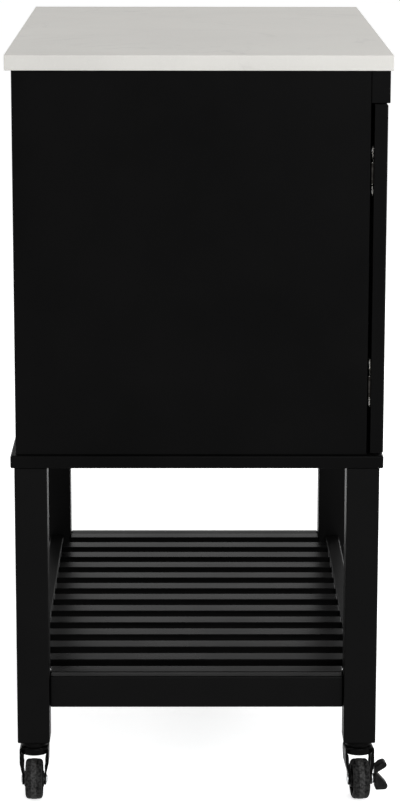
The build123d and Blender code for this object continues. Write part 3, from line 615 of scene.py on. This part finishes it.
def addFork(bm, place):
    p = fork
    side = [(reach, p["top"]) for reach in p["topReach"]]
    side += roundedCorner((p["arm"] - p["bend"], p["top"] - p["bend"]), p["bend"], 90, 0, 5)
    side += [(p["arm"], height) for height in p["armHeights"]]
    side += [(p["arm"] + out, p["knee"] + up) for out, up in p["kneeBend"]]
    side.append(p["slant"])
    side += [(p["toe"] + out, p["heel"] + up) for out, up in p["heelBend"]]
    side += [(p["toe"], height) for height in p["toeHeights"]]
    path = [(-out, height) for out, height in reversed(side)] + [(0.0, p["top"])] + side
    inner = []
    for index, (out, height) in enumerate(path):
        before, after = path[max(index - 1, 0)], path[min(index + 1, len(path) - 1)]
        along = Vector((after[0] - before[0], after[1] - before[1])).normalized()
        inner.append((out + along.y * p["sheet"], height - along.x * p["sheet"]))
    grids = []
    for line in (path, inner):
        rows = []
        for (out, height), (_, edgeHeight) in zip(line, path):
            back, front = forkEdges(edgeHeight)
            row = []
            for column in range(p["columns"] + 1):
                ahead = back + (front - back) * column / p["columns"]
                turnedIn = line is inner and column in (0, p["columns"])
                lip = copysign(lipDepth(edgeHeight), out) if turnedIn else 0.0
                row.append(bm.verts.new(place @ (Vector((ahead, out - lip, height)) * mm)))
            rows.append(row)
        grids.append(rows)
    outerRows, innerRows = grids
    last, width = len(path) - 1, p["columns"]
    for rows in grids:
        for j in range(last):
            for k in range(width):
                bm.faces.new([rows[j][k], rows[j][k + 1], rows[j + 1][k + 1], rows[j + 1][k]])
    # the sheet's edges
    for j in range(last):
        for k in (0, width):
            bm.faces.new([outerRows[j][k], outerRows[j + 1][k],
                          innerRows[j + 1][k], innerRows[j][k]])
    for j in (0, last):
        for k in range(width):
            bm.faces.new([outerRows[j][k], outerRows[j][k + 1],
                          innerRows[j][k + 1], innerRows[j][k]])
    # the crown, a round cup pressed in the middle
    r, t, s, b = p["crown"], p["top"], p["sheet"], p["bend"]
    eased, lowest = p["cupEdge"]
    ease, (inwards, downwards) = p["cupEase"], p["cupInside"]
    cup = [(p["bore"], t + p["proud"]), (r - b, t + p["proud"])]
    cup += roundedCorner((r - b, t - b), b, 80, 0)
    cup += [(r, eased), (r - ease, lowest), (r - s + ease, lowest), (r - s, eased),
            (r - s, t - downwards), (r - inwards, t - s), (p["bore"], t - s)]
    addTurning(bm, scaled(cup), p["cupSteps"], place, closed=True)


def hullLoop(circles, steps=36):
    points = [Vector((x + r * cos(turn), y + r * sin(turn)))
              for x, y, r in circles for turn in circleTurns(steps)]
    return [points[index] for index in convex_hull_2d(points)]


# a wing's ends are rounded by shrinking its loop there
def addWing(bm, place, circles):
    p = pedal
    loop = hullLoop(circles)
    middle = sum(loop, Vector((0, 0))) / len(loop)
    rings = []
    for share, inset in p["ends"]:
        ring = []
        for point in loop:
            out, height = point + (middle - point).normalized() * inset
            half = p["halfWidth"] + abs(height - wheel["radius"]) / p["widen"]
            ahead = p["lean"] * (height - p["leanFrom"]) + share * half
            spot = Vector((ahead, -out, height - wheel["radius"]))
            ring.append(bm.verts.new(place @ (spot * mm)))
        rings.append(ring)
    for first, second in zip(rings, rings[1:]):
        for index in range(len(loop)):
            after = (index + 1) % len(loop)
            bm.faces.new([first[index], first[after], second[after], second[index]])
    bm.faces.new(rings[0])
    bm.faces.new(rings[-1])


def addPedal(bm, place, outPlace):
    p = pedal
    addWing(bm, place, p["upperWing"])
    addWing(bm, place, p["lowerWing"])
    addTurning(bm, scaled(p["hub"]), p["hubSteps"], outPlace, closed=True)
    # grip ribs along the line that touches the lower wing's root and tip
    tip, _, root = (Vector(circle) for circle in p["lowerWing"])
    reach = (tip - root).xy
    slope = atan2(reach.y, reach.x) + asin((tip.z - root.z) / reach.length)
    along, outwards = Vector((cos(slope), sin(slope))), Vector((-sin(slope), cos(slope)))
    length, width, rise = p["ribSize"]
    for number in range(p["ribs"]):
        spot = root.xy + outwards * root.z + along * p["ribPitch"] * (number + p["ribStart"])
        axes = Matrix(((1, 0, 0, p["lean"] * (spot.y - p["leanFrom"])),
                       (0, -along.x, -outwards.x, -spot.x),
                       (0, along.y, outwards.y, spot.y - wheel["radius"]),
                       (0, 0, 0, 1)))
        axes.translation *= mm
        half = Vector((length, width, rise)) * mm / 2
        addPlacedBoard(bm, -half, half, p["ribArris"], 2, place @ axes)


housingMesh = bmesh.new()
for corner in ("front_left", "back_left", "front_right", "back_right"):
    swivelJoint = joints["swivel_%s_turn" % corner]
    wheelJoint = joints["wheel_%s_roll" % corner]
    foot = Vector(swivelJoint["pos_m"])
    foot.z = 0
    centre, across = Vector(wheelJoint["pos_m"]), Vector(wheelJoint["axis"]).normalized()
    ahead = across.cross(Vector((0, 0, 1)))
    axes = Matrix((ahead, across, Vector((0, 0, 1)))).transposed().to_4x4()
    footPlace = Matrix.Translation(foot) @ axes
    wheelPlace = Matrix.Translation(centre) @ axes
    rollPlace = wheelPlace @ Matrix.Rotation(-pi / 2, 4, "X")
    outPlace = wheelPlace @ Matrix.Rotation(pi / 2, 4, "X")
    braked = corner.startswith("front")

    addTurning(housingMesh, scaled(housing["outline"]), housing["steps"], footPlace)

    bm = bmesh.new()
    addFork(bm, footPlace)
    piece = addPiece("forkPressing_" + corner, bm, blackCoat, 40)
    bevel = piece.modifiers.new("softEdges", "BEVEL")
    bevel.width, bevel.segments, bevel.limit_method = fork["edge"] * mm, 2, "ANGLE"
    bevel.angle_limit = radians(fork["edgeAngle"])
    piece.modifiers.move(1, 0)
    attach(piece, "swivel_" + corner)
    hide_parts("fork_" + corner)

    bm = bmesh.new()
    outline = [(r, -h) for r, h in reversed(axle["head"])]
    outline += [(axle["pin"], -axle["shoulder"]), (axle["pin"], axle["shoulder"])]
    outline += axle["brakeSide"] if braked else axle["head"]
    addTurning(bm, scaled(outline), axle["steps"], outPlace)
    piece = addPiece("axlePin_" + corner, bm, zinc)
    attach(piece, "swivel_" + corner)
    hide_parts("axle_" + corner)

    bm = bmesh.new()
    half = [(radius, along) for along, radius in wheel["tread"]]
    outline = [(r, -h) for r, h in reversed(half[1:])] + half
    addTurning(bm, scaled(outline), wheel["steps"], rollPlace, closed=True)
    piece = addPiece("wheelTread_" + corner, bm, treadRubber)
    piece.data.materials.append(treadBand)
    for face in piece.data.polygons:
        reach = face.center - centre
        inBand = abs(reach.dot(across)) < wheel["band"] * mm
        face.material_index = int(inBand and reach.length > wheel["bandRadius"] * mm)
    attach(piece, "wheel_" + corner)
    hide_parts("tread_" + corner)

    bm = bmesh.new()
    outline = wheel["hub"] + [(r, -h) for r, h in reversed(wheel["hub"])]
    addTurning(bm, scaled(outline), wheel["steps"], rollPlace, closed=True)
    thick, wide = wheel["rib"]
    for number in range(wheel["ribs"]):
        turn = Matrix.Rotation(2 * pi * number / wheel["ribs"], 4, "Z")
        low = Vector((wheel["ribFrom"], -thick / 2, -wide / 2)) * mm
        high = Vector((wheel["ribTo"], thick / 2, wide / 2)) * mm
        addPlacedBoard(bm, low, high, wheel["ribArris"], 2, rollPlace @ turn)
    piece = addPiece("wheelHub_" + corner, bm, mouldedBlack)
    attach(piece, "wheel_" + corner)
    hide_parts("hub_" + corner)

    if braked:
        bm = bmesh.new()
        addPedal(bm, wheelPlace, outPlace)
        piece = addPiece("pedalMoulding_" + corner, bm, mouldedBlack, 40)
        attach(piece, "pedal_" + corner)
        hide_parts("brake_pedal_" + corner)

piece = addPiece("casterHousings", housingMesh, blackCoat)
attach(piece, "cart")
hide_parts("caster_stems")
print("cart: casters made")

# fitted to the edges in the photo; angles in degrees
view = {"place": (-3.6465, 0.02606, 1.2208), "focalPixels": 2820.0, "photoHeight": 805,
        "down": 12.359, "toRight": 0.339, "roll": 0.081, "sensor": 36.0}

down, toRight, roll = (radians(view[key]) for key in ("down", "toRight", "roll"))
forward = Vector((cos(toRight) * cos(down), -sin(toRight) * cos(down), -sin(down)))
level = forward.cross(Vector((0, 0, 1))).normalized()
above = level.cross(forward)
right = level * cos(roll) + above * sin(roll)
top = above * cos(roll) - level * sin(roll)
camera = bpy.data.objects.new("photoCamera", bpy.data.cameras.new("photoCamera"))
bpy.context.scene.collection.objects.link(camera)
turn = Matrix((right, top, -forward)).transposed().to_4x4()
camera.matrix_world = Matrix.Translation(view["place"]) @ turn
camera.data.sensor_width = view["sensor"]
camera.data.lens = view["focalPixels"] / view["photoHeight"] * view["sensor"]
camera.data.clip_start, camera.data.clip_end = 0.1, 200.0
bpy.context.scene.camera = camera

light = {
    "sky": 0.42, "white": (1, 1, 1, 1), "floorColour": (0.80, 0.80, 0.80, 1), "floorLift": 0.67,
    "floorHalf": 40.0,
    # place, aimed at, size, watts, colour
    "lamps": {
        "cameraSide": ((-3.4, -1.1, 1.9), (0, 0, 0.55), 1.8, 90.0, (0.96, 0.98, 1.0)),
        "doorSide": ((0.6, -3.2, 1.7), (0, 0, 0.5), 1.6, 40.0, (1, 1, 1)),
        "backSide": ((0.5, 3.3, 1.7), (0, 0, 0.5), 1.6, 40.0, (1, 1, 1)),
        "farSide": ((3.0, -2.0, 1.5), (0, 0, 0.5), 1.6, 45.0, (1, 1, 1)),
    },
}


# 1 where the camera, a mirror or clear stuff looks straight at it, 0 for its light on other things
def addSeenDirectly(tree):
    path = tree.nodes.new("ShaderNodeLightPath")
    kinds = [path.outputs[name]
             for name in ("Is Camera Ray", "Is Glossy Ray", "Is Transmission Ray")]
    total = kinds[0]
    for kind in kinds[1:]:
        either = tree.nodes.new("ShaderNodeMath")
        either.operation = "MAXIMUM"
        tree.links.new(total, either.inputs[0])
        tree.links.new(kind, either.inputs[1])
        total = either.outputs[0]
    return total


world = bpy.data.worlds.new("paleStudio")
bpy.context.scene.world = world
world.use_nodes = True
tree = world.node_tree
sky = tree.nodes["Background"]
sky.inputs["Color"].default_value = light["white"]
sky.inputs["Strength"].default_value = light["sky"]
backdrop = tree.nodes.new("ShaderNodeBackground")
backdrop.inputs["Color"].default_value = light["white"]
backdrop.inputs["Strength"].default_value = 1.0
chooser = tree.nodes.new("ShaderNodeMixShader")
tree.links.new(addSeenDirectly(tree), chooser.inputs[0])
tree.links.new(sky.outputs[0], chooser.inputs[1])
tree.links.new(backdrop.outputs[0], chooser.inputs[2])
tree.links.new(chooser.outputs[0], tree.nodes["World Output"].inputs["Surface"])

floorMaterial = bpy.data.materials.new("paleFloor")
floorMaterial.use_nodes = True
tree = floorMaterial.node_tree
tree.nodes.remove(tree.nodes["Principled BSDF"])
plain = tree.nodes.new("ShaderNodeBsdfDiffuse")
plain.inputs["Color"].default_value = light["floorColour"]
lift = tree.nodes.new("ShaderNodeEmission")
lift.inputs["Strength"].default_value = light["floorLift"]
lifted = tree.nodes.new("ShaderNodeAddShader")
chooser = tree.nodes.new("ShaderNodeMixShader")
tree.links.new(plain.outputs[0], lifted.inputs[0])
tree.links.new(lift.outputs[0], lifted.inputs[1])
tree.links.new(addSeenDirectly(tree), chooser.inputs[0])
tree.links.new(plain.outputs[0], chooser.inputs[1])
tree.links.new(lifted.outputs[0], chooser.inputs[2])
tree.links.new(chooser.outputs[0], tree.nodes["Material Output"].inputs["Surface"])

bm = bmesh.new()
bmesh.ops.create_grid(bm, x_segments=1, y_segments=1, size=light["floorHalf"])
floor = addPiece("studioFloor", bm, floorMaterial)

for name, (place, aim, size, watts, colour) in light["lamps"].items():
    lampData = bpy.data.lights.new(name, "AREA")
    lampData.shape, lampData.size = "SQUARE", size
    lampData.energy, lampData.color = watts, colour
    lamp = bpy.data.objects.new(name, lampData)
    bpy.context.scene.collection.objects.link(lamp)
    lamp.location = place
    lamp.rotation_mode = "QUATERNION"
    lamp.rotation_quaternion = (Vector(aim) - Vector(place)).to_track_quat("-Z", "Y")
bpy.context.scene.view_settings.view_transform = "Standard"
print("cart: camera, floor and light set")
